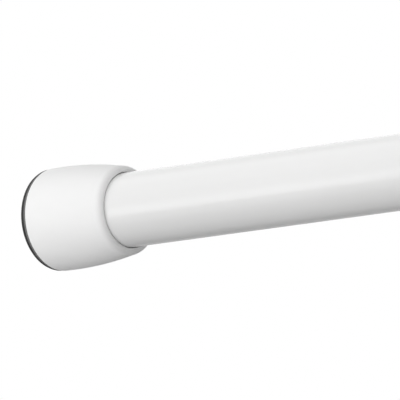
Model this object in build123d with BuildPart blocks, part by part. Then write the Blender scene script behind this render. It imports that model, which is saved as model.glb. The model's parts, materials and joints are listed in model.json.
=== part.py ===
from build123d import *

import math
import os

# Extendable shower curtain rod: a narrow tube slides out of a wide one, a split sleeve on a threaded
# stud locks them when they are twisted, and a spring in the narrow tube presses the rod between two walls.
# The rod lies along X. X = 0 is the wall face of the left pad, and Z points up.

# Tubes
outer_tube_dia = 25.0
outer_tube_wall = 0.8
inner_tube_wall = 0.8
tube_gap = 0.7  # all round, between the wide tube's bore and the narrow tube
extension = 500.0  # how far the narrow tube can be drawn out
tube_overlap = 40.0  # what stays inside the wide tube when it is fully drawn out
push_travel = 25.0  # how far the narrow tube can be pushed in against the spring

# Clearances
snug = 0.05  # pieces pressed or pinned together
running = 0.1  # pieces that slide or turn on each other, on the radius or on each flat
apart = 0.3  # moving pieces that only pass each other
stop_room = 0.8  # between the cap and the collar when the rod is pushed right in

# Rubber wall pads
pad_thickness = 2.2
pad_inset = 0.2  # inside the cap's rim, all round
pad_wall_inset = 0.4  # inside its own greatest radius, at the wall face below a sloping edge
pad_wall_edge = 1.0
pad_brow_drop = 0.1
pad_boss_radius = 6.0
pad_boss_height = 1.5

# Moulded end caps: straight by the rim, then a taper that steepens once, then the rounded shoulder.
# Each step is how far the cap stands out from the wide tube there.
cap_length = 31.6
cap_rim_step = 4.75
cap_straight = 8.0
cap_taper_bend = 18.5
cap_bend_step = 4.06
cap_shoulder_at = 28.85
cap_shoulder_step = 2.65
cap_lip_step = 0.45  # where the shoulder ends at the mouth
cap_mouth_gap = 0.25
cap_lip_length = 2.5
cap_wall = 2.2
cap_floor = 5.0
cap_recess_depth = 3.3
cap_rib_count = 6
cap_rib_angle = 8.0

# Plugs pressed into the tubes' ends
plug_flange = 1.0
plug_length = 16.0
plug_hub_radius = 3.8
plug_fin_thickness = 3.0

# Cap screws
screw_radius = 1.95
screw_length = 13.0
screw_hole_radius = 2.3
screw_head_radius = 4.0
screw_head_height = 1.6
screw_cross_width = 0.9
screw_cross_length = 4.4
screw_cross_depth = 0.9

# Guide collar on the wide tube's mouth
collar_wall = 1.45
collar_grip = 12.0
collar_lip = 2.5
collar_chamfer = 0.8

# Threaded lock stud
nose_room = 3.36  # between the left plug and the stud's nose
stud_radius = 4.0
thread_pitch = 1.25
feed_turns = 2.0  # turns from loose to locked
nose_nut_flats = 10.0
nose_nut_thickness = 3.0
nose_point = 1.0  # of the stud past its nut
shoulder_radius = 6.5
shoulder_length = 3.0
washer_radius = 7.0
washer_thickness = 1.0
hex_flats = 8.0
tail_radius = 3.0
tail_length = 14.0

# Wedge nut and split sleeve, measured across the flats of their six ramps
ramp_count = 6
taper_length = 12.0
taper_large_flats = 17.6
taper_small_flats = 12.0
wedge_head_flats = 19.0
wedge_head_length = 2.0
wedge_seat_gap = 0.1  # between the two tapers when the wedge is fully in
finger_length = 16.0
finger_hinge_length = 3.0
finger_hinge_radius = 10.0
finger_slot_width = 2.4
sleeve_ring_length = 9.0
tooth_pitch = 4.0
tooth_count = 3
tooth_depth = 0.5
leaf_count = 2
leaf_width = 4.0
leaf_length = 7.0
leaf_thickness = 0.5
leaf_rise = 0.9
leaf_pocket_room = 0.5

# Bush, spring and seat inside the narrow tube
bush_flange = 3.0
bush_length = 16.0
bush_hub_radius = 6.4
bush_fin_thickness = 5.0
wire_side = 1.4
spring_room = 1.6  # all round, between the spring and the narrow tube's bore
spring_turns = 5.0
spring_length = 75.0  # as fitted, pressed between its cup and its seat
cup_room = 0.6  # all round, between the cup and the narrow tube's bore
cup_thickness = 4.0
seat_length = 12.0
nut_flats = 10.0
nut_thickness = 5.0
pin_radius = 1.5
pin_depth = 4.4

# Worked out from the sizes above
outer_tube_radius = outer_tube_dia / 2
outer_bore = outer_tube_radius - outer_tube_wall
inner_tube_radius = outer_bore - tube_gap
inner_tube_dia = 2 * inner_tube_radius
inner_bore = inner_tube_radius - inner_tube_wall
spring_mean_radius = inner_bore - spring_room - wire_side / 2
cap_radius = outer_tube_radius + cap_rim_step
cap_bend_radius = outer_tube_radius + cap_bend_step
cap_shoulder_radius = outer_tube_radius + cap_shoulder_step
cap_lip_radius = outer_tube_radius + cap_lip_step
pad_radius = cap_radius - pad_inset
pad_wall_radius = pad_radius - pad_wall_inset
collar_bore = outer_tube_radius + snug
collar_radius = collar_bore + collar_wall
floor_at = pad_thickness + cap_floor
tube_end_at = floor_at + plug_flange

taper_slope = (taper_large_flats - taper_small_flats) / 2 / taper_length
taper_angle = math.degrees(math.atan(taper_slope))
seat_shift = wedge_seat_gap * math.hypot(1, taper_slope) / taper_slope
wedge_travel = feed_turns * thread_pitch
wedge_flare = (wedge_head_flats - taper_large_flats) / 2 / taper_slope
wedge_back = seat_shift + wedge_travel

nose_x = tube_end_at + plug_length + nose_room
nose_nut_x = nose_x + nose_point
wedge_x = nose_nut_x + nose_nut_thickness + apart
sleeve_x = wedge_x + wedge_head_length + wedge_flare + wedge_back
sleeve_ring_x = sleeve_x + finger_length
sleeve_end_x = sleeve_ring_x + sleeve_ring_length
shoulder_x = sleeve_end_x + apart + washer_thickness
hex_x = shoulder_x + shoulder_length
bush_x = hex_x + push_travel + stop_room
inner_tube_x = bush_x + bush_flange
bush_end_x = inner_tube_x + bush_length
cup_x = bush_end_x + apart
cup_face_x = cup_x + cup_thickness
spring_end_x = cup_face_x + spring_length
seat_x = spring_end_x + running
tube_mouth_x = inner_tube_x + extension + tube_overlap
closed_length = tube_mouth_x + collar_lip + push_travel + stop_room + cap_length + pad_thickness
inner_tube_length = closed_length - tube_end_at - inner_tube_x

# The section plane of each end: x runs from the wall into the room, y is the radius
left_wall = Plane.XZ
right_wall = Plane(origin=(closed_length, 0, 0), x_dir=(-1, 0, 0), z_dir=(0, 1, 0))
LEFT_END = (left_wall, outer_tube_dia, outer_tube_wall)
RIGHT_END = (right_wall, inner_tube_dia, inner_tube_wall)


def square_to_rod(wall, distance):
    """The plane across the rod at a distance from a wall face, facing away from that wall."""
    centre = wall.from_local_coords(Vector(distance, 0, 0))
    return Plane(origin=centre, x_dir=wall.y_dir, z_dir=wall.x_dir)


def across(x):
    """The plane across the rod at a place along it, facing +X."""
    return square_to_rod(left_wall, x)


def wall_pad(wall):
    """Rubber pad: a disc with sloping edges, and a boss that sits in the cap's recess."""
    boss_end = pad_thickness + pad_boss_height
    with BuildPart() as pad:
        with BuildSketch(wall):
            with BuildLine():
                Polyline(
                    (0, 0),
                    (0, pad_wall_radius),
                    (pad_wall_edge, pad_radius),
                    (pad_thickness, pad_radius - pad_brow_drop),
                    (pad_thickness, pad_boss_radius),
                    (boss_end, pad_boss_radius),
                    (boss_end, 0),
                    close=True,
                )
            make_face()
        revolve(axis=Axis.X)
    return pad.part


def end_cap(wall, tube_dia):
    """Moulded cap: a barrel with a rounded shoulder, hollow between the ribs that centre the tube."""
    socket_radius = tube_dia / 2 + cap_mouth_gap
    mouth_x = pad_thickness + cap_length
    lip_inner_x = mouth_x - cap_lip_length
    shoulder_x = pad_thickness + cap_shoulder_at
    rib_pitch = 360 / cap_rib_count
    with BuildPart() as cap:
        with BuildSketch(wall):
            with BuildLine():
                barrel = Polyline(
                    (pad_thickness, 0),
                    (pad_thickness, cap_radius),
                    (pad_thickness + cap_straight, cap_radius),
                    (pad_thickness + cap_taper_bend, cap_bend_radius),
                    (shoulder_x, cap_shoulder_radius),
                )
                shoulder = TangentArc(barrel @ 1, (mouth_x, cap_lip_radius), tangent=barrel % 1)
                Polyline(shoulder @ 1, (mouth_x, 0), (pad_thickness, 0))
            make_face()
        revolve(axis=Axis.X)
        with BuildSketch(square_to_rod(wall, floor_at)):
            Circle(socket_radius)
        extrude(amount=cap_length, mode=Mode.SUBTRACT)

        # Pockets between the ribs, which leave an even wall under the taper
        for index in range(cap_rib_count):
            with BuildSketch(wall.rotated((index * rib_pitch, 0, 0))):
                with BuildLine():
                    Polyline(
                        (floor_at, socket_radius - snug),
                        (floor_at, cap_radius - cap_wall),
                        (pad_thickness + cap_straight, cap_radius - cap_wall),
                        (lip_inner_x, cap_shoulder_radius - cap_wall),
                        (lip_inner_x, socket_radius - snug),
                        close=True,
                    )
                make_face()
            revolve(axis=Axis.X, revolution_arc=rib_pitch - cap_rib_angle, mode=Mode.SUBTRACT)

        # Recess for the pad's boss and the screw's head, and the screw's hole
        with BuildSketch(square_to_rod(wall, pad_thickness)):
            Circle(pad_boss_radius + snug)
        extrude(amount=cap_recess_depth, mode=Mode.SUBTRACT)
        with BuildSketch(square_to_rod(wall, pad_thickness)):
            Circle(screw_hole_radius)
        extrude(amount=cap_floor, mode=Mode.SUBTRACT)
    return cap.part


def finned_core(hub_radius, fin_thickness, reach):
    """The section of a moulded plug: a round hub with four fins that touch the tube's bore."""
    with BuildSketch(Plane.XY) as section:
        Rectangle(2 * reach, fin_thickness)
        Rectangle(fin_thickness, 2 * reach)
        Circle(hub_radius)
        Circle(reach, mode=Mode.INTERSECT)
    return section.sketch


def tube_plug(wall, tube_dia, tube_wall):
    """Moulded plug in the tube's end: a flange, and a finned hub for the screw."""
    reach = tube_dia / 2 - tube_wall - snug
    with BuildPart() as plug:
        with BuildSketch(square_to_rod(wall, floor_at)):
            Circle(tube_dia / 2)
        extrude(amount=plug_flange)
        with BuildSketch(square_to_rod(wall, tube_end_at)):
            add(finned_core(plug_hub_radius, plug_fin_thickness, reach))
        extrude(amount=plug_length)
        with BuildSketch(square_to_rod(wall, floor_at)):
            Circle(screw_radius + snug)
        extrude(amount=plug_flange + plug_length, mode=Mode.SUBTRACT)
    return plug.part


def cap_screw(wall):
    """Cheese-head screw through the cap's floor into the plug, with a cross recess."""
    seat = pad_thickness + cap_recess_depth
    crown = seat - screw_head_height
    with BuildPart() as screw:
        with BuildSketch(square_to_rod(wall, crown)):
            Circle(screw_head_radius)
        extrude(amount=screw_head_height)
        with BuildSketch(square_to_rod(wall, seat)):
            Circle(screw_radius)
        extrude(amount=screw_length)
        with BuildSketch(square_to_rod(wall, crown)):
            Rectangle(screw_cross_length, screw_cross_width)
            Rectangle(screw_cross_width, screw_cross_length)
        extrude(amount=screw_cross_depth, mode=Mode.SUBTRACT)
    return screw.part


def hexagon_nut(x, flats, thickness, bore_radius):
    """A hexagon nut on the stud."""
    with BuildPart() as nut:
        with BuildSketch(across(x)):
            RegularPolygon(flats / 2, 6, major_radius=False)
            Circle(bore_radius, mode=Mode.SUBTRACT)
        extrude(amount=thickness)
    return nut.part


# Ends of the rod: pad, cap, plug and screw at each wall
pads = [wall_pad(wall) for wall in (left_wall, right_wall)]
caps = [end_cap(wall, dia) for wall, dia, thickness in (LEFT_END, RIGHT_END)]
plugs = [tube_plug(wall, dia, thickness) for wall, dia, thickness in (LEFT_END, RIGHT_END)]
screws = [cap_screw(wall) for wall in (left_wall, right_wall)]

# Where the pins hold the bush and the spring's seat in the narrow tube
pin_near = inner_tube_radius - running - pin_depth
pin_places = (inner_tube_x + bush_length / 2, seat_x + seat_length / 2)

with BuildPart() as outer_tube:
    with BuildSketch(across(tube_end_at)):
        Circle(outer_tube_radius)
        Circle(outer_bore, mode=Mode.SUBTRACT)
    extrude(amount=tube_mouth_x - tube_end_at)

with BuildPart() as guide_collar:
    with BuildSketch(Plane.XZ):
        with BuildLine():
            Polyline(
                (tube_mouth_x - collar_grip, collar_bore),
                (tube_mouth_x - collar_grip, collar_radius),
                (tube_mouth_x + collar_lip, collar_radius),
                (tube_mouth_x + collar_lip, inner_tube_radius + running),
                (tube_mouth_x, inner_tube_radius + running),
                (tube_mouth_x, collar_bore),
                close=True,
            )
        make_face()
    revolve(axis=Axis.X)
    rims = guide_collar.edges().filter_by(GeomType.CIRCLE).group_by(Axis.X)[-1]
    chamfer(rims.sort_by(SortBy.RADIUS)[-1], collar_chamfer)

with BuildPart() as inner_tube:
    with BuildSketch(across(inner_tube_x)):
        Circle(inner_tube_radius)
        Circle(inner_bore, mode=Mode.SUBTRACT)
    extrude(amount=inner_tube_length)
    for place in pin_places:
        with BuildSketch(Plane.XZ):
            with Locations((place, 0)):
                Circle(pin_radius + snug)
        extrude(amount=inner_tube_dia, both=True, mode=Mode.SUBTRACT)

with BuildPart() as drive_bush:
    with BuildSketch(across(bush_x)):
        Circle(outer_bore - running)
    extrude(amount=bush_flange)
    with BuildSketch(across(inner_tube_x)):
        add(finned_core(bush_hub_radius, bush_fin_thickness, inner_bore - snug))
    extrude(amount=bush_length)
    with BuildSketch(across(bush_x)):
        RegularPolygon(hex_flats / 2 + running, 6, major_radius=False)
    extrude(amount=bush_flange + bush_length, mode=Mode.SUBTRACT)
    for side in (1, -1):
        with BuildSketch(Plane(origin=(pin_places[0], side * pin_near, 0), z_dir=(0, side, 0))):
            Circle(pin_radius + snug)
        extrude(amount=pin_depth * 2, mode=Mode.SUBTRACT)

with BuildPart() as spring_seat:
    with BuildSketch(across(seat_x)):
        Circle(inner_bore - snug)
    extrude(amount=seat_length)
    for side in (1, -1):
        with BuildSketch(Plane(origin=(pin_places[1], side * pin_near, 0), z_dir=(0, side, 0))):
            Circle(pin_radius + snug)
        extrude(amount=pin_depth * 2, mode=Mode.SUBTRACT)

with BuildPart() as tube_pins:
    for place in pin_places:
        for side in (1, -1):
            with BuildSketch(Plane(origin=(place, side * pin_near, 0), z_dir=(0, side, 0))):
                Circle(pin_radius)
            extrude(amount=pin_depth)

with BuildPart() as lock_stud:
    with BuildSketch(across(nose_x)):
        Circle(stud_radius)
    extrude(amount=shoulder_x - nose_x)
    with BuildSketch(across(shoulder_x)):
        Circle(shoulder_radius)
    extrude(amount=shoulder_length)
    with BuildSketch(across(hex_x)):
        RegularPolygon(hex_flats / 2, 6, major_radius=False)
    extrude(amount=cup_x - hex_x)
    with BuildSketch(across(cup_x)):
        Circle(tail_radius)
    extrude(amount=tail_length)

with BuildPart() as thrust_washer:
    with BuildSketch(across(shoulder_x - washer_thickness)):
        Circle(washer_radius)
        Circle(stud_radius + snug, mode=Mode.SUBTRACT)
    extrude(amount=washer_thickness)

# Wedge nut, drawn where it stands when loose: it slides into the sleeve's fingers as the stud turns
with BuildPart() as wedge_nut:
    with BuildSketch(across(wedge_x)):
        RegularPolygon(wedge_head_flats / 2, ramp_count, major_radius=False)
    extrude(amount=wedge_head_length)
    with BuildSketch(across(wedge_x + wedge_head_length)):
        RegularPolygon(wedge_head_flats / 2, ramp_count, major_radius=False)
    extrude(amount=wedge_flare + taper_length, taper=taper_angle)
    with BuildSketch(across(wedge_x)):
        Circle(stud_radius + running)
    extrude(amount=wedge_head_length + wedge_flare + taper_length, mode=Mode.SUBTRACT)

# Split sleeve: toothed fingers with a flat ramp inside each, thinned where they bend, on a solid ring
with BuildPart() as lock_sleeve:
    sleeve_radius = outer_bore - apart
    bend_x = sleeve_ring_x - finger_hinge_length
    taper_end_x = sleeve_x + taper_length
    with BuildSketch(across(sleeve_x)):
        Circle(sleeve_radius)
    extrude(amount=finger_length + sleeve_ring_length)
    with BuildSketch(across(sleeve_x)):
        RegularPolygon(taper_large_flats / 2, ramp_count, major_radius=False)
    extrude(amount=taper_length, taper=taper_angle, mode=Mode.SUBTRACT)
    with BuildSketch(across(taper_end_x)):
        RegularPolygon(taper_small_flats / 2, ramp_count, major_radius=False)
    extrude(amount=sleeve_ring_x - taper_end_x, mode=Mode.SUBTRACT)
    with BuildSketch(across(sleeve_ring_x)):
        Circle(stud_radius + apart)
    extrude(amount=sleeve_ring_length, mode=Mode.SUBTRACT)

    # The groove that thins the fingers' roots, and the saw teeth that bite the tube
    with BuildSketch(Plane.XZ):
        with BuildLine():
            Polyline(
                (bend_x, sleeve_radius + snug),
                (sleeve_ring_x, sleeve_radius + snug),
                (sleeve_ring_x, finger_hinge_radius),
                (bend_x + sleeve_radius - finger_hinge_radius, finger_hinge_radius),
                close=True,
            )
        make_face()
        for tooth in range(tooth_count):
            tooth_x = sleeve_x + tooth_pitch * (tooth + 0.5)
            with BuildLine():
                Polyline(
                    (tooth_x, sleeve_radius + snug),
                    (tooth_x + tooth_pitch / 2, sleeve_radius + snug),
                    (tooth_x, sleeve_radius - tooth_depth),
                    close=True,
                )
            make_face()
    revolve(axis=Axis.X, mode=Mode.SUBTRACT)

    # Slots between the fingers, at the corners of the hexagon
    with BuildSketch(across(sleeve_x)):
        with PolarLocations(outer_tube_radius / 2, ramp_count):
            Rectangle(outer_tube_radius, finger_slot_width)
    extrude(amount=finger_length, mode=Mode.SUBTRACT)

    # Flat-bottomed pockets for the drag springs, in the ring
    crown = math.sqrt(outer_bore**2 - (leaf_width / 2) ** 2) - running
    pocket_depth_radius = crown - leaf_rise - leaf_thickness
    pocket_x = sleeve_ring_x + (sleeve_ring_length - leaf_length) / 2 - leaf_pocket_room
    pocket_length = leaf_length + 2 * leaf_pocket_room
    for leaf in range(leaf_count):
        over = Plane(origin=(pocket_x + pocket_length / 2, 0, 0), x_dir=(1, 0, 0), z_dir=(0, 1, 0))
        spun = over.rotated((leaf * 360 / leaf_count, 0, 0))
        with BuildSketch(spun.offset(pocket_depth_radius)):
            Rectangle(pocket_length, leaf_width + 2 * snug)
        extrude(amount=outer_bore, mode=Mode.SUBTRACT)

# Bowed leaf springs that rub on the tube's bore, so the sleeve doesn't turn with the stud
with BuildPart() as drag_springs:
    for leaf in range(leaf_count):
        side = 1 - 2 * leaf
        with BuildSketch(Plane.XY):
            with BuildLine():
                near_x = pocket_x + leaf_pocket_room
                middle_x = near_x + leaf_length / 2
                far_x = near_x + leaf_length
                foot = side * pocket_depth_radius
                top = side * leaf_thickness
                under = ThreePointArc((near_x, foot), (middle_x, foot + side * leaf_rise), (far_x, foot))
                heel = Line(under @ 1, (far_x, foot + top))
                over_arc = ThreePointArc(
                    heel @ 1,
                    (middle_x, foot + side * leaf_rise + top),
                    (near_x, foot + top),
                )
                Line(over_arc @ 1, under @ 0)
            make_face()
        extrude(amount=leaf_width / 2, both=True)

with BuildPart() as spring_cup:
    with BuildSketch(across(cup_x)):
        Circle(inner_bore - cup_room)
        Circle(tail_radius + snug, mode=Mode.SUBTRACT)
    extrude(amount=cup_thickness)

nose_nut = hexagon_nut(nose_nut_x, nose_nut_flats, nose_nut_thickness, stud_radius + snug)
tail_nut = hexagon_nut(cup_face_x, nut_flats, nut_thickness, tail_radius + snug)

# Square-wire spring, with its ends ground flat against the cup and the seat
with BuildPart() as tension_spring:
    pitch = spring_length / spring_turns
    with BuildLine() as coil:
        Helix(
            pitch=pitch,
            height=spring_length + 2 * wire_side,
            radius=spring_mean_radius,
            center=(cup_face_x - wire_side, 0, 0),
            direction=(1, 0, 0),
        )
    with BuildSketch(Plane(origin=coil.line @ 0, x_dir=(1, 0, 0), z_dir=coil.line % 0)):
        Rectangle(wire_side, wire_side)
    sweep(path=coil.line, is_frenet=True)
    split(bisect_by=across(cup_face_x), keep=Keep.TOP)
    split(bisect_by=across(spring_end_x), keep=Keep.BOTTOM)

pieces = {
    "left_wall_pad": pads[0],
    "left_end_cap": caps[0],
    "left_tube_plug": plugs[0],
    "left_cap_screw": screws[0],
    "outer_tube": outer_tube.part,
    "guide_collar": guide_collar.part,
    "lock_sleeve": lock_sleeve.part,
    "drag_springs": drag_springs.part,
    "wedge_nut": wedge_nut.part,
    "lock_stud": lock_stud.part,
    "nose_nut": nose_nut,
    "thrust_washer": thrust_washer.part,
    "spring_cup": spring_cup.part,
    "tail_nut": tail_nut,
    "tension_spring": tension_spring.part,
    "inner_tube": inner_tube.part,
    "drive_bush": drive_bush.part,
    "spring_seat": spring_seat.part,
    "tube_pins": tube_pins.part,
    "right_tube_plug": plugs[1],
    "right_cap_screw": screws[1],
    "right_end_cap": caps[1],
    "right_wall_pad": pads[1],
}

os.makedirs("parts", exist_ok=True)
for name, part in pieces.items():
    part.label = name
    export_step(part, f"parts/{name}.step")

print("closed length", round(closed_length, 2), "mouth of the wide tube", round(tube_mouth_x, 2))
print("wedge travel", round(wedge_travel, 3), "sleeve", round(sleeve_x, 2), "to", round(sleeve_end_x, 2))
print("bush", round(bush_x, 2), "cup face", round(cup_face_x, 2), "seat", round(seat_x, 2))
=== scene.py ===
import json
import math

import bmesh
import bpy
import numpy as np
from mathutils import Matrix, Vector


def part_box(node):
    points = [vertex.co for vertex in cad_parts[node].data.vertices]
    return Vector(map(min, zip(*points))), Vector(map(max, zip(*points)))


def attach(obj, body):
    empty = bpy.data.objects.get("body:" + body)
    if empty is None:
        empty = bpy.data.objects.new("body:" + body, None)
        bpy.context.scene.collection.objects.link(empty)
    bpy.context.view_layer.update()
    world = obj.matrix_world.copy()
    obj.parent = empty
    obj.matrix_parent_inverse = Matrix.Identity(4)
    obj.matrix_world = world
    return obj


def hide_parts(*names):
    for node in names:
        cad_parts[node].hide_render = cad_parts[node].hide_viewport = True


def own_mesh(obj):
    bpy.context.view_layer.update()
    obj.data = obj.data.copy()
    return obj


# An extendable shower curtain rod along X, with its left wall face at X = 0 and Z up. The object's sizes are
# in millimetres, turned into metres by MM. The stage, the lamps and the camera are in metres.

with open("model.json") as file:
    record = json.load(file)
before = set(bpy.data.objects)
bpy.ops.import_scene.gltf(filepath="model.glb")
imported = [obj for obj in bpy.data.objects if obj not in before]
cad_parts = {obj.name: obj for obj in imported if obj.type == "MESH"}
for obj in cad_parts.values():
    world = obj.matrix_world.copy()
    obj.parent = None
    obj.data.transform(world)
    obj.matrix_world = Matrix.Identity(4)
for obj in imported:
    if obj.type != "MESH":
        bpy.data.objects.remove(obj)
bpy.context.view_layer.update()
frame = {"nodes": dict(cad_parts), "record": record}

MM = 0.001
SAME_POINT = 1e-6  # metres
SHARP = math.radians(32)  # a steeper fold between two faces is an edge
ROUND = 192  # steps round the pieces seen from outside
INSIDE = 48  # steps round threads and hexagons, with a corner of the hexagon at every eighth


def x_range(node):
    """Where a CAD node begins and ends along the rod, in mm."""
    return [v.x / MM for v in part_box(node)]


# Sizes of the tubes
LENGTH = x_range("right_wall_pad")[1]
TUBE_X0, TUBE_X1 = x_range("outer_tube")
NARROW_X0, NARROW_X1 = x_range("inner_tube")
TUBE_R, NARROW_R, WALL = 12.5, 11.0, 0.8
TUBE_EDGE = 0.2  # bevel of a tube's outer edge
FACE_LENGTH = 20.0  # of the faces along a tube

# Sizes of the guide collar on the wide tube's mouth
COLLAR_ON, COLLAR_PAST = 12.0, 2.5  # how far it reaches over the tube and past its end
COLLAR_R, COLLAR_SEAT_R, COLLAR_BORE_R = 14.0, 12.55, 11.1
COLLAR_BEVEL = 0.8
BACK_ROUND, FRONT_ROUND, BORE_ROUND = 0.45, 0.5, 0.15

# Sizes of a wall pad, measured from its wall face
PAD = 2.2
PAD_FACE_R = 16.3
# Its edge from the wall face to the cap, as (distance, radius): rounded, sloping and widest in its middle
PAD_EDGE = (
    (0.03, 16.45),
    (0.12, 16.58),
    (0.3, 16.75),
    (0.6, 16.88),
    (0.85, 16.99),
    (1.0, 17.04),
    (1.15, 17.05),
    (1.5, 17.03),
    (2.0, 16.97),
    (2.12, 16.93),
    (PAD, 16.8),
)
GROOVES, GROOVE_R, GROOVE_STEP = 5, 4.0, 2.5  # grip grooves, with the first one's radius
GROOVE_HALF = ((0.45, 0.0), (0.40, 0.12), (0.22, 0.34))  # half a groove's section: (off its middle, depth)
GROOVE_DEPTH = 0.38
BOSS_R, BOSS_TO, BOSS_BEVEL = 6.0, 3.7, 0.15  # sits in the cap's recess

# Sizes of an end cap, measured from its rim towards the room
CAP = 31.6
BARREL_R, WIDEST_AT = 17.27, 4.5
BARREL_ARC = 277.0  # twice the radius of the barrel's shallow arc
RIM_R, RIM_ROUND = 16.7, 0.5
SHOULDER_AT, SHOULDER_CURVE = 28.83, 0.9  # where the rounded shoulder begins, and how full it is
LIP_R = 12.95  # where the shoulder ends
RIM_STEPS, BARREL_STEPS, SHOULDER_STEPS = 6, 40, 24
CAP_GAP = 0.25  # round the tube, in the mouth
RING_OUTER, RING_INNER = 0.5, 0.15  # bands at both sides of a mouth's flat ring
MOUTH_EDGE = ((0.04, 0.06), (0.12, 0.0), (0.25, 0.0))  # rounds into the bore: (depth, off the bore)
# The hollow: its floor, where its wall starts to taper, and where it ends behind the mouth
FLOOR_TOP, STRAIGHT_TO, HOLLOW_TO = 5.0, 8.0, 29.1
FLOOR_WALL_R, MOUTH_WALL_R = 15.0, 13.0
SCREW_R, RECESS_R, RECESS_DEPTH = 2.3, 6.05, 3.3
RIBS, RIB_FIRST, RIB_HALF = 6, 56, 4  # how many, where the first one is, and half its width in degrees
RIB_SUNK = 0.05  # into the cap's wall

# Sizes of the spring
COIL_R, COIL_PITCH, COIL_STEPS = 7.9, 15.0, 64
WIRE, WIRE_CORNER = 1.4, 0.22
GROUND = 0.38  # how far the coil would run past each end, where it is ground flat

# Sizes of the stud and its nuts
THREAD_DEPTH = 0.6134  # of the pitch
# One pitch of a metric thread, as (share of the pitch, share of the depth): crest, flank, root
THREAD_SHAPE = ((0.0, 0.0), (0.125, 0.0), (0.4375, 1.0), (0.6875, 1.0))
NOSE_R, NOSE_PITCH = 4.0, 1.25
TAIL_R, TAIL_PITCH = 3.0, 1.0
PLAIN_NOSE, RUN_IN = 13.0, 0.5  # between the nose's thread and the shoulder
STUD_SHOULDER_R, STUD_SHOULDER_WIDE, STUD_EDGE = 6.5, 3.0, 0.2
SHANK_FLATS = 8.0
NUT_FLATS, NUT_GAP, NUT_SINK = 10.0, 0.05, 0.35
CORNER_TILT = math.radians(30)  # of the bevelled corners


# Mesh helpers
def add_object(name, data):
    obj = bpy.data.objects.new(name, data)
    bpy.context.scene.collection.objects.link(obj)
    return obj


def finish_mesh(name, verts, faces):
    """A piece with doubled points joined, every face turned outward, and smooth up to its sharp edges."""
    mesh = bpy.data.meshes.new(name)
    mesh.from_pydata(verts, [], faces)
    mesh.update()
    work = bmesh.new()
    work.from_mesh(mesh)
    bmesh.ops.remove_doubles(work, verts=work.verts, dist=SAME_POINT)
    bmesh.ops.recalc_face_normals(work, faces=work.faces)
    work.to_mesh(mesh)
    work.free()
    mesh.shade_smooth()
    mesh.set_sharp_from_angle(angle=SHARP)
    return add_object(name, mesh)


def rounded(points, steps=5):
    """A closed profile of (x, r) or (x, r, fillet) corners, with each fillet drawn as an arc."""
    out = []
    for i, (x, r, *fillet) in enumerate(points):
        if not fillet:
            out.append((x, r))
            continue
        corner = np.array((x, r))
        before = np.array(points[i - 1][:2]) - corner
        after = np.array(points[(i + 1) % len(points)][:2]) - corner
        before /= np.linalg.norm(before)
        after /= np.linalg.norm(after)
        half = math.acos(before @ after) / 2
        middle = (before + after) / np.linalg.norm(before + after)
        centre = corner + middle * (fillet[0] / math.sin(half))
        cut = fillet[0] / math.tan(half)
        start = corner + before * cut - centre
        end = corner + after * cut - centre
        angle = math.pi - 2 * half
        for k in range(steps + 1):
            t = k / steps
            spoke = start * math.sin((1 - t) * angle) + end * math.sin(t * angle)
            out.append(tuple(centre + spoke / math.sin(angle)))
    return out


def lathe(profile, steps=ROUND, closed=True):
    """Points and faces of a profile of (x, r) in mm turned about the rod's axis. r = 0 is a point."""
    verts, rings = [], []
    for x, r in profile:
        first = len(verts)
        if r == 0:
            verts.append((x * MM, 0.0, 0.0))
        else:
            for k in range(steps):
                a = 2 * math.pi * k / steps
                verts.append((x * MM, r * MM * math.cos(a), r * MM * math.sin(a)))
        rings.append(range(first, len(verts)))
    pairs = list(zip(rings, rings[1:]))
    if closed:
        pairs.append((rings[-1], rings[0]))
    faces = []
    for a, b in pairs:
        for k in range(steps):
            n = (k + 1) % steps
            if len(a) == 1:
                faces.append((a[0], b[n], b[k]))
            elif len(b) == 1:
                faces.append((a[k], a[n], b[0]))
            else:
                faces.append((a[k], a[n], b[n], b[k]))
    return verts, faces


def joined(*parts):
    """Several lists of points and faces as one."""
    verts, faces = [], []
    for v, f in parts:
        base = len(verts)
        verts.extend(v)
        faces.extend(tuple(i + base for i in face) for face in f)
    return verts, faces


def from_wall(distance, at_right):
    """The place along the rod of a distance from the left wall or the right one."""
    return LENGTH - distance if at_right else distance


def divided(x0, x1, r):
    """Points along a straight stretch, so that its long faces stay well shaped."""
    count = max(1, round(abs(x1 - x0) / FACE_LENGTH))
    return [(x0 + (x1 - x0) * k / count, r) for k in range(count + 1)]


# Material helpers
def rgba(colour):
    """A colour or a grey level, with its alpha."""
    return (*colour, 1) if isinstance(colour, tuple) else (colour, colour, colour, 1)


def times(colour, factor):
    """A colour made darker or paler."""
    return tuple(c * factor for c in colour)


def connect(tree, value, socket):
    """Gives a socket the output of another node, or a constant."""
    if isinstance(value, bpy.types.NodeSocket):
        tree.links.new(value, socket)
    else:
        socket.default_value = rgba(value) if socket.type == "RGBA" else value


def add_node(tree, kind, inputs=None, **settings):
    """A shader node with its settings, and with inputs that are constants or other nodes' outputs."""
    node = tree.nodes.new(kind)
    for name, value in settings.items():
        setattr(node, name, value)
    for key, value in (inputs or {}).items():
        connect(tree, value, node.inputs[key])
    return node


def node_material(name):
    """A material, its nodes, its shader, and the place on the object that its textures read."""
    mat = bpy.data.materials.new(name)
    mat.use_nodes = True
    tree = mat.node_tree
    here = add_node(tree, "ShaderNodeTexCoord").outputs["Object"]
    return mat, tree, tree.nodes["Principled BSDF"], here


def stretched(tree, here, *scale):
    return add_node(tree, "ShaderNodeMapping", {"Vector": here, "Scale": scale}).outputs["Vector"]


def noise(tree, vector, scale=1, detail=2, rough=0.55):
    inputs = {"Vector": vector, "Scale": scale, "Detail": detail, "Roughness": rough}
    return add_node(tree, "ShaderNodeTexNoise", inputs).outputs["Fac"]


def ramp(tree, value, *stops):
    """Two stops of (place, colour or grey level) along a value."""
    node = add_node(tree, "ShaderNodeValToRGB", {"Fac": value})
    for element, (place, colour) in zip(node.color_ramp.elements, stops):
        element.position = place
        element.color = rgba(colour)
    return node.outputs["Color"]


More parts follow.
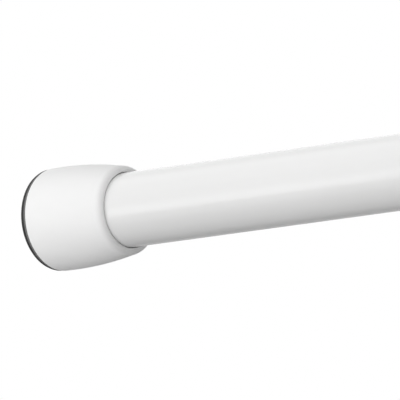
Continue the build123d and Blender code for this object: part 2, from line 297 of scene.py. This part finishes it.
def mixed(tree, factor, a, b, blend="MIX"):
    inputs = {0: factor, 6: a, 7: b}
    return add_node(tree, "ShaderNodeMix", inputs, data_type="RGBA", blend_type=blend).outputs[2]


def bumps(tree, shader, *layers):
    """Layers of (height socket, strength, distance in mm), one on another."""
    normal = None
    for height, strength, distance in layers:
        inputs = {"Height": height, "Strength": strength, "Distance": distance * MM}
        if normal is not None:
            inputs["Normal"] = normal
        normal = add_node(tree, "ShaderNodeBump", inputs).outputs["Normal"]
    connect(tree, normal, shader.inputs["Normal"])


def painted(name, colour, rub):
    """Baked white enamel on a drawn tube: orange peel, faint streaks, and rub marks where it slides."""
    mat, tree, shader, here = node_material(name)
    cloud = noise(tree, here, scale=14, detail=4)
    base = ramp(tree, cloud, (0.3, times(colour, 0.985)), (0.7, colour))
    streak = noise(tree, stretched(tree, here, 1.2, 260, 260), detail=5, rough=0.6)
    fine = ramp(tree, streak, (0.60, 0.0), (0.78, 1.0))
    base = mixed(tree, mixed(tree, 1.0, fine, rub, "MULTIPLY"), base, times(colour, 0.90))
    speck = noise(tree, here, scale=900)
    dust = ramp(tree, speck, (0.74, 0.0), (0.80, 0.35))
    base = mixed(tree, dust, base, times(colour, 0.93))
    gloss = noise(tree, stretched(tree, here, 8, 60, 60), detail=4)
    connect(tree, base, shader.inputs["Base Color"])
    connect(tree, ramp(tree, gloss, (0.25, 0.20), (0.75, 0.28)), shader.inputs["Roughness"])
    connect(tree, 1.6, shader.inputs["IOR"])
    peel = noise(tree, here, scale=420)
    wave = noise(tree, stretched(tree, here, 6, 90, 90))
    bumps(tree, shader, (peel, 0.10, 0.03), (wave, 0.10, 0.05), (streak, rub * 0.5, 0.02))
    return mat


def moulded(name, colour, rough, low=0.972, speck=0.9):
    """Moulded plastic: slight flow marks, a fine spark texture and a few tiny pits.
    low and speck say how dark its flow marks and pits are next to its colour."""
    mat, tree, shader, here = node_material(name)
    flow = noise(tree, stretched(tree, here, 30, 55, 55), detail=5, rough=0.6)
    base = ramp(tree, flow, (0.32, times(colour, low)), (0.68, colour))
    dust = ramp(tree, noise(tree, here, scale=1100), (0.72, 0.0), (0.80, 0.30))
    base = mixed(tree, dust, base, times(colour, speck))
    connect(tree, base, shader.inputs["Base Color"])
    connect(tree, ramp(tree, flow, (0.3, rough * 0.88), (0.7, rough * 1.12)), shader.inputs["Roughness"])
    connect(tree, 1.35, shader.inputs["IOR"])
    grain = noise(tree, here, scale=1500, detail=3)
    swell = noise(tree, here, scale=120)
    bumps(tree, shader, (grain, 0.10, 0.02), (swell, 0.12, 0.06))
    return mat


def rubber(name, edge, strip, at_right):
    """Rubber that is dark at its wall edge and greyer where it meets the cap, with a fine pebble grain."""
    mat, tree, shader, here = node_material(name)
    x = add_node(tree, "ShaderNodeSeparateXYZ", {"Vector": here}).outputs["X"]
    # The distance from the wall as a share of the pad's thickness
    inputs = {0: x, 1: (-1 if at_right else 1) / (PAD * MM), 2: LENGTH / PAD if at_right else 0.0}
    share = add_node(tree, "ShaderNodeMath", inputs, operation="MULTIPLY_ADD").outputs[0]
    zone = ramp(tree, share, (0.66, 0.0), (0.76, 1.0))
    mottle = noise(tree, here, scale=260, detail=4)
    dark = ramp(tree, mottle, (0.3, edge * 0.8), (0.7, edge * 1.25))
    pale = ramp(tree, mottle, (0.3, strip * 0.93), (0.7, strip * 1.07))
    bloom = ramp(tree, noise(tree, here, scale=700, detail=3), (0.62, 0.0), (0.75, 0.2))
    base = mixed(tree, bloom, mixed(tree, zone, dark, pale), strip * 1.1)
    connect(tree, base, shader.inputs["Base Color"])
    connect(tree, ramp(tree, mottle, (0.3, 0.70), (0.7, 0.85)), shader.inputs["Roughness"])
    connect(tree, 1.25, shader.inputs["IOR"])
    grain = noise(tree, here, scale=1300, detail=3)
    bumps(tree, shader, (grain, 0.25, 0.05), (mottle, 0.2, 0.08))
    return mat


def metal(name, colour, rough, lines=(900, 900, 900)):
    """Bare or plated metal with fine tool lines and uneven plating."""
    mat, tree, shader, here = node_material(name)
    cloud = noise(tree, here, scale=180, detail=5)
    base = ramp(tree, cloud, (0.3, times(colour, 0.86)), (0.7, colour))
    scratch = noise(tree, stretched(tree, here, *lines), detail=4, rough=0.6)
    base = mixed(tree, ramp(tree, scratch, (0.6, 0.0), (0.75, 0.5)), base, times(colour, 0.7))
    connect(tree, 1.0, shader.inputs["Metallic"])
    connect(tree, base, shader.inputs["Base Color"])
    connect(tree, ramp(tree, scratch, (0.3, rough * 0.75), (0.7, rough * 1.3)), shader.inputs["Roughness"])
    bumps(tree, shader, (scratch, 0.15, 0.02), (cloud, 0.1, 0.03))
    return mat


WHITE = (0.775, 0.775, 0.772)
PLASTIC = (0.895, 0.895, 0.893)
PAD_DARK, PAD_GREY = 0.035, 0.17
tube_paint = painted("tube_paint", WHITE, 0.10)
sliding_paint = painted("sliding_paint", WHITE, 0.45)
cap_plastic = moulded("cap_plastic", PLASTIC, 0.55)
natural_nylon = moulded("natural_nylon", (0.80, 0.785, 0.73), 0.45)
black_nylon = moulded("black_nylon", (0.045, 0.045, 0.047), 0.42, low=0.75, speck=2.2)
left_rubber = rubber("left_rubber", PAD_DARK, PAD_GREY, False)
right_rubber = rubber("right_rubber", PAD_DARK, PAD_GREY, True)
bright_steel = metal("bright_steel", (0.62, 0.62, 0.63), 0.30)
spring_wire = metal("spring_wire", (0.45, 0.45, 0.47), 0.34, (300, 1200, 1200))
wedge_brass = metal("wedge_brass", (0.72, 0.58, 0.32), 0.30)


def place(obj, body, material, slot, node):
    """Gives a piece its finish, and puts it on its body in place of a CAD node."""
    obj.data.materials.append(material)
    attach(obj, body)
    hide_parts(node)
    return obj


# End caps
def barrel_radius(s):
    """The cap's outer radius at a distance s from its rim: a shallow arc."""
    return BARREL_R - (s - WIDEST_AT) ** 2 / BARREL_ARC


def cap_profile(bore):
    """Section of a cap as (distance from the rim, radius), round its outside and back through its hollow."""
    points = [(0.0, RECESS_R), (0.0, RIM_R)]
    for k in range(1, RIM_STEPS + 1):
        a = math.pi / 2 * k / RIM_STEPS
        rise = (barrel_radius(RIM_ROUND) - RIM_R) * math.sin(a)
        points.append((RIM_ROUND * (1 - math.cos(a)), RIM_R + rise))
    for k in range(1, BARREL_STEPS + 1):
        s = RIM_ROUND + (SHOULDER_AT - RIM_ROUND) * k / BARREL_STEPS
        points.append((s, barrel_radius(s)))
    for k in range(1, SHOULDER_STEPS):
        a = math.pi / 2 * k / SHOULDER_STEPS
        rise = (barrel_radius(SHOULDER_AT) - LIP_R) * math.cos(a) ** SHOULDER_CURVE
        points.append((SHOULDER_AT + (CAP - SHOULDER_AT) * math.sin(a), LIP_R + rise))
    points.append((CAP, LIP_R))
    if LIP_R - bore > RING_OUTER + RING_INNER:  # a flat ring down to the narrow tube
        points += [(CAP, LIP_R - RING_OUTER), (CAP, bore + RING_INNER)]
    points += [(CAP - depth, bore + off) for depth, off in MOUTH_EDGE]
    points += [(HOLLOW_TO, bore), (HOLLOW_TO, MOUTH_WALL_R), (STRAIGHT_TO, FLOOR_WALL_R)]
    points += [(FLOOR_TOP, FLOOR_WALL_R), (FLOOR_TOP, SCREW_R), (RECESS_DEPTH, SCREW_R)]
    points += [(RECESS_DEPTH, RECESS_R)]
    return points


def rib(angle, bore):
    """One rib inside a cap, as a wedge from the bore to the wall: (distance from the rim, y, z)."""
    half = math.radians(RIB_HALF)
    verts = []
    for s, wall in ((FLOOR_TOP, FLOOR_WALL_R), (STRAIGHT_TO, FLOOR_WALL_R), (HOLLOW_TO, MOUTH_WALL_R)):
        for r in (bore, wall + RIB_SUNK):
            for side in (-half, half):
                verts.append((s, r * math.cos(angle + side), r * math.sin(angle + side)))
    faces = [(0, 1, 3, 2), (8, 10, 11, 9)]
    for a in (0, 4):
        faces += [(a, a + 4, a + 5, a + 1), (a + 2, a + 3, a + 7, a + 6)]
        faces += [(a, a + 2, a + 6, a + 4), (a + 1, a + 5, a + 7, a + 3)]
    return verts, faces


def end_cap(name, at_right, tube_r):
    """A cap for a tube of that radius, hollow, with ribs that centre the tube."""
    bore = tube_r + CAP_GAP
    parts = [lathe([(from_wall(PAD + s, at_right), r) for s, r in cap_profile(bore)])]
    for k in range(RIBS):
        verts, faces = rib(math.radians(360 / RIBS * k + RIB_FIRST), bore)
        parts.append(([(from_wall(PAD + s, at_right) * MM, y * MM, z * MM) for s, y, z in verts], faces))
    return finish_mesh(name, *joined(*parts))


place(end_cap("cap_left", False, TUBE_R), "outer_section", cap_plastic, "cap_plastic", "left_end_cap")
place(end_cap("cap_right", True, NARROW_R), "inner_section", cap_plastic, "cap_plastic", "right_end_cap")


# Wall pads
def wall_pad(name, at_right):
    """Rubber pad with concentric grip grooves in its wall face, and a boss towards the cap."""
    points = [(0.0, 0.0)]
    for k in range(GROOVES):
        middle = GROOVE_R + GROOVE_STEP * k
        points += [(depth, middle - off) for off, depth in GROOVE_HALF]
        points += [(GROOVE_DEPTH, middle)]
        points += [(depth, middle + off) for off, depth in reversed(GROOVE_HALF)]
    points += [(0.0, PAD_FACE_R), *PAD_EDGE, (PAD, BOSS_R), (BOSS_TO - BOSS_BEVEL, BOSS_R)]
    points += [(BOSS_TO, BOSS_R - BOSS_BEVEL), (BOSS_TO, 0.0)]
    return finish_mesh(name, *lathe([(from_wall(x, at_right), r) for x, r in points], closed=False))


place(wall_pad("pad_left", False), "outer_section", left_rubber, "pad_rubber", "left_wall_pad")
place(wall_pad("pad_right", True), "inner_section", right_rubber, "pad_rubber", "right_wall_pad")


# Tubes
def tube(name, x0, x1, radius):
    outer = divided(x0 + TUBE_EDGE, x1 - TUBE_EDGE, radius)
    inner = divided(x1, x0, radius - WALL)
    return finish_mesh(name, *lathe([(x0, radius - TUBE_EDGE), *outer, (x1, radius - TUBE_EDGE), *inner]))


wide_tube = tube("tube_wide", TUBE_X0, TUBE_X1, TUBE_R)
place(wide_tube, "outer_section", tube_paint, "white_paint", "outer_tube")
narrow_tube = tube("tube_narrow", NARROW_X0, NARROW_X1, NARROW_R)
place(narrow_tube, "inner_section", sliding_paint, "white_paint", "inner_tube")


# Guide collar
def collar(name):
    """A ring on the wide tube's mouth, with rounded edges and a bevel towards the narrow tube."""
    x0, x1 = TUBE_X1 - COLLAR_ON, TUBE_X1 + COLLAR_PAST
    points = [(x0, COLLAR_SEAT_R), (x0, COLLAR_R, BACK_ROUND)]
    points += [(x1 - COLLAR_BEVEL, COLLAR_R, FRONT_ROUND), (x1, COLLAR_R - COLLAR_BEVEL, FRONT_ROUND)]
    points += [(x1, COLLAR_BORE_R, BORE_ROUND)]
    points += [(TUBE_X1, COLLAR_BORE_R), (TUBE_X1, COLLAR_SEAT_R)]
    return finish_mesh(name, *lathe(rounded(points)))


place(collar("collar"), "outer_section", cap_plastic, "cap_plastic", "guide_collar")


# Spring inside the rod
def coil_spring(name):
    """Square-wire spring with its ends ground flat against the cup and the seat."""
    x0, x1 = x_range("tension_spring")
    half = WIRE / 2
    tilt = math.atan(COIL_PITCH / (2 * math.pi * COIL_R))
    corners = ((-half, -half), (half, -half), (half, half), (-half, half))
    section = rounded([(*corner, WIRE_CORNER) for corner in corners], 2)
    around = len(section)
    run = x1 - x0 + 2 * GROUND
    count = round(run / COIL_PITCH * COIL_STEPS)
    verts, faces = [], []
    for i in range(count + 1):
        x = x0 - GROUND + run * i / count
        a = math.pi / 2 + 2 * math.pi * (x - x0 + WIRE) / COIL_PITCH
        for along, out in section:
            px = min(max(x + along * math.cos(tilt), x0), x1)
            side, r = along * math.sin(tilt), COIL_R + out
            y = r * math.cos(a) + side * math.sin(a)
            z = r * math.sin(a) - side * math.cos(a)
            verts.append((px * MM, y * MM, z * MM))
    for i in range(count):
        for k in range(around):
            n = (k + 1) % around
            faces.append((i * around + k, i * around + n, (i + 1) * around + n, (i + 1) * around + k))
    faces += [tuple(range(around)), tuple(count * around + k for k in range(around))]
    return finish_mesh(name, verts, faces)


spring = place(coil_spring("spring"), "drive_stud", spring_wire, "spring_wire", "tension_spring")
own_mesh(spring)


# Stud and nuts inside the rod
def circle(x, r):
    return [(x, r)] * INSIDE


def hexagon(x, flats, bevel=0.0):
    """A row round a hexagon with a corner straight up.
    A bevel of 1 or -1 lets its corners fall back from x, as on a nut's face."""
    row = []
    for k in range(INSIDE):
        off = (2 * math.pi * k / INSIDE - math.pi / 6) % (math.pi / 3) - math.pi / 6
        r = flats / 2 / math.cos(off)
        row.append((x + bevel * (r - flats / 2) * math.tan(CORNER_TILT), r))
    return row


def skin(rows, turn_rows=0):
    """Points and faces between rows of (x, r) in mm.
    Along a thread the end of a row meets the row that is turn_rows further on."""
    verts, faces = [], []
    for row in rows:
        for k, (x, r) in enumerate(row):
            a = 2 * math.pi * k / INSIDE
            verts.append((x * MM, r * MM * math.cos(a), r * MM * math.sin(a)))
    for j in range(len(rows) - 1):
        for k in range(INSIDE):
            n = j * INSIDE + k + 1
            if k + 1 == INSIDE:
                n = (j + turn_rows) * INSIDE
                if j + turn_rows + 1 >= len(rows):
                    continue
            faces.append((j * INSIDE + k, n, n + INSIDE, (j + 1) * INSIDE + k))
    return verts, faces


def thread(x0, x1, r, pitch):
    """A right-hand thread that runs out to its core at both ends."""
    depth = THREAD_DEPTH * pitch
    rows = []
    for turn in range(math.ceil((x1 - x0) / pitch) + 2):
        for share, cut in THREAD_SHAPE:
            row = []
            for k in range(INSIDE):
                x = x0 + pitch * (turn - 1 + share + k / INSIDE)
                x = min(max(x, x0), x1)
                row.append((x, min(r - cut * depth, r - depth + min(x - x0, x1 - x))))
            rows.append(row)
    return skin(rows, len(THREAD_SHAPE))


def lock_stud(name):
    """Threaded nose, shoulder, hexagonal shank and threaded tail of the lock's stud."""
    x0, x1 = x_range("lock_stud")
    shoulder = x_range("thrust_washer")[1]
    cup = x_range("spring_cup")[0]
    thread_end, hexagon_x = shoulder - PLAIN_NOSE, shoulder + STUD_SHOULDER_WIDE
    nose_core = NOSE_R - THREAD_DEPTH * NOSE_PITCH
    tail_core = TAIL_R - THREAD_DEPTH * TAIL_PITCH
    edge_r = STUD_SHOULDER_R - STUD_EDGE
    middle = [circle(thread_end, nose_core), circle(thread_end + RUN_IN, NOSE_R), circle(shoulder, NOSE_R)]
    middle += [circle(shoulder, edge_r), circle(shoulder + STUD_EDGE, STUD_SHOULDER_R)]
    middle += [circle(hexagon_x - STUD_EDGE, STUD_SHOULDER_R), circle(hexagon_x, edge_r)]
    middle += [hexagon(hexagon_x, SHANK_FLATS), hexagon(cup, SHANK_FLATS, -1)]
    middle += [circle(cup, SHANK_FLATS / 2), circle(cup, tail_core)]
    stretches = joined(
        lathe([(x0, 0.0), (x0, nose_core)], INSIDE, closed=False),
        thread(x0, thread_end, NOSE_R, NOSE_PITCH),
        skin(middle),
        thread(cup, x1, TAIL_R, TAIL_PITCH),
        lathe([(x1, tail_core), (x1, 0.0)], INSIDE, closed=False),
    )
    return finish_mesh(name, *stretches)


def nut(name, node, thread_r):
    """A hexagon nut with bevelled corners and a countersunk bore."""
    x0, x1 = x_range(node)
    bore = thread_r + NUT_GAP
    rows = [circle(x0 + NUT_SINK, bore), circle(x0, bore + NUT_SINK), circle(x0, NUT_FLATS / 2)]
    rows += [hexagon(x0, NUT_FLATS, 1), hexagon(x1, NUT_FLATS, -1), circle(x1, NUT_FLATS / 2)]
    rows += [circle(x1, bore + NUT_SINK), circle(x1 - NUT_SINK, bore), circle(x0 + NUT_SINK, bore)]
    return finish_mesh(name, *skin(rows))


place(lock_stud("stud"), "drive_stud", bright_steel, "bright_steel", "lock_stud")
place(nut("nut_nose", "nose_nut", NOSE_R), "drive_stud", bright_steel, "bright_steel", "nose_nut")
place(nut("nut_tail", "tail_nut", TAIL_R), "drive_stud", bright_steel, "bright_steel", "tail_nut")

# Finishes of the pieces kept from the CAD
finishes = {
    "natural_nylon": natural_nylon,
    "black_nylon": black_nylon,
    "bright_steel": bright_steel,
    "wedge_brass": wedge_brass,
}
for row in frame["record"]["subparts"]:
    if row["material_slot"] in finishes:
        mesh = frame["nodes"][row["node"]].data
        mesh.materials.clear()
        mesh.materials.append(finishes[row["material_slot"]])

# Stage
FLOOR_Z, FLOOR_FAR = -2.6, 300.0
FADE_FROM, FADE_TO = 3.0, 8.0  # the floor turns white between these distances


def stage_material(name, near, seen, unseen):
    """A floor that the camera sees pale by the object, with its shadow, and white from a few metres away.
    It throws less light back up, and its underside is clear, so that the object shows from below too."""
    mat = bpy.data.materials.new(name)
    mat.use_nodes = True
    tree = mat.node_tree
    tree.nodes.remove(tree.nodes["Principled BSDF"])
    coords = add_node(tree, "ShaderNodeTexCoord")
    away = add_node(tree, "ShaderNodeVectorMath", {0: coords.outputs["Object"]}, operation="LENGTH")
    limits = {"From Min": FADE_FROM, "From Max": FADE_TO, "To Min": near, "To Max": 1.0}
    inputs = {"Value": away.outputs["Value"], **limits}
    fade = add_node(tree, "ShaderNodeMapRange", inputs, interpolation_type="SMOOTHSTEP")
    pale = add_node(tree, "ShaderNodeBsdfDiffuse", {"Color": seen})
    light = add_node(tree, "ShaderNodeEmission", {"Strength": fade.outputs["Result"]})
    both = add_node(tree, "ShaderNodeAddShader", {0: pale.outputs[0], 1: light.outputs[0]})
    dull = add_node(tree, "ShaderNodeBsdfDiffuse", {"Color": unseen})
    ray = add_node(tree, "ShaderNodeLightPath").outputs["Is Camera Ray"]
    by_ray = add_node(tree, "ShaderNodeMixShader", {0: ray, 1: dull.outputs[0], 2: both.outputs[0]})
    clear = add_node(tree, "ShaderNodeBsdfTransparent")
    side = add_node(tree, "ShaderNodeNewGeometry").outputs["Backfacing"]
    by_side = add_node(tree, "ShaderNodeMixShader", {0: side, 1: by_ray.outputs[0], 2: clear.outputs[0]})
    connect(tree, by_side.outputs[0], tree.nodes["Material Output"].inputs["Surface"])
    return mat


floor_mesh = bpy.data.meshes.new("floor")
floor_corners = [(x * FLOOR_FAR, y * FLOOR_FAR, FLOOR_Z) for x, y in ((-1, -1), (1, -1), (1, 1), (-1, 1))]
floor_mesh.from_pydata(floor_corners, [], [(0, 1, 2, 3)])
floor_mesh.materials.append(stage_material("pale_floor", near=0.72, seen=0.35, unseen=0.40))
floor = add_object("floor", floor_mesh)


# Light
def studio_world(name, as_light):
    """White to the camera, in reflections and through clear things, and much dimmer as a light."""
    world = bpy.data.worlds.new(name)
    world.use_nodes = True
    tree = world.node_tree
    soft = tree.nodes["Background"]
    connect(tree, 1.0, soft.inputs["Color"])
    connect(tree, as_light, soft.inputs["Strength"])
    white = add_node(tree, "ShaderNodeBackground", {"Color": 1.0, "Strength": 1.0})
    ray = add_node(tree, "ShaderNodeLightPath").outputs
    inputs = {0: ray["Is Camera Ray"], 1: ray["Is Glossy Ray"]}
    either = add_node(tree, "ShaderNodeMath", inputs, operation="MAXIMUM")
    inputs = {0: either.outputs[0], 1: ray["Is Transmission Ray"]}
    seen = add_node(tree, "ShaderNodeMath", inputs, operation="MAXIMUM")
    inputs = {0: seen.outputs[0], 1: soft.outputs[0], 2: white.outputs[0]}
    mix = add_node(tree, "ShaderNodeMixShader", inputs)
    connect(tree, mix.outputs[0], tree.nodes["World Output"].inputs["Surface"])
    return world


bpy.context.scene.world = studio_world("studio", as_light=0.02)

LAMP_AWAY = 3.4
LONG_BANK = (-2.1, 9.9)  # middle and length of the lamps beside the rod and past its left end
SHORT_BANK = (5.0, 4.2)  # the same past its right end, which light the caps' shoulders


def softbox(name, bank, angle, high, level):
    """A lamp along the rod, in the direction angle above the horizon towards the front (-Y).
    level is its own brightness, where 1 is white."""
    middle, wide = bank
    data = bpy.data.lights.new(name, "AREA")
    data.shape = "RECTANGLE"
    data.size, data.size_y = wide, high
    data.energy = level * math.pi * wide * high
    lamp = add_object(name, data)
    a = math.radians(angle)
    lamp.location = (middle, -LAMP_AWAY * math.cos(a), LAMP_AWAY * math.sin(a))
    aim = Vector((middle, 0, 0)) - lamp.location
    lamp.rotation_euler = aim.to_track_quat("-Z", "Y").to_euler()
    lamp.visible_camera = False
    return lamp


for lamp_name, bank, angle, high, level in (
    ("front_ground", LONG_BANK, -46.0, 1.0, 0.7),
    ("front_floor", LONG_BANK, -31.0, 1.0, 0.55),
    ("front_strip", LONG_BANK, -13.0, 1.5, 2.64),
    ("front_low", LONG_BANK, 12.0, 1.5, 0.59),
    ("front_middle", LONG_BANK, 37.0, 1.5, 0.75),
    ("front_high", LONG_BANK, 62.0, 1.5, 0.8),
    ("top", LONG_BANK, 87.0, 1.5, 1.19),
    ("back_high", LONG_BANK, 118.0, 2.2, 0.46),
    ("back_middle", LONG_BANK, 154.0, 2.2, 0.36),
    ("back_low", LONG_BANK, 190.0, 2.2, 0.56),
    ("right_floor", SHORT_BANK, -31.0, 1.0, 3.4),
    ("right_strip", SHORT_BANK, -13.0, 1.5, 0.1),
    ("right_low", SHORT_BANK, 12.0, 1.5, 0.39),
    ("right_middle", SHORT_BANK, 37.0, 1.5, 0.1),
    ("right_high", SHORT_BANK, 62.0, 1.5, 1.35),
):
    softbox(lamp_name, bank, angle, high, level)
# Fills the rod's back, and shows in no reflection, where the edges would turn white
softbox("back_fill", LONG_BANK, 179.0, 1.5, 0.9).visible_glossy = False

# Camera
EYE = Vector((2.5486, -2.7984, -0.5945))
AIM = Vector((0.03766, 0.03087, 0.006575))
LENS, SENSOR = 1032.1, 36.0  # mm
CLIP = (0.05, 500.0)
camera_data = bpy.data.cameras.new("camera")
camera_data.lens, camera_data.sensor_width = LENS, SENSOR
camera_data.clip_start, camera_data.clip_end = CLIP
camera = add_object("camera", camera_data)
camera.location = EYE
camera.rotation_mode = "QUATERNION"
camera.rotation_quaternion = (AIM - EYE).to_track_quat("-Z", "Y")
bpy.context.scene.camera = camera
bpy.context.scene.view_settings.view_transform = "Standard"
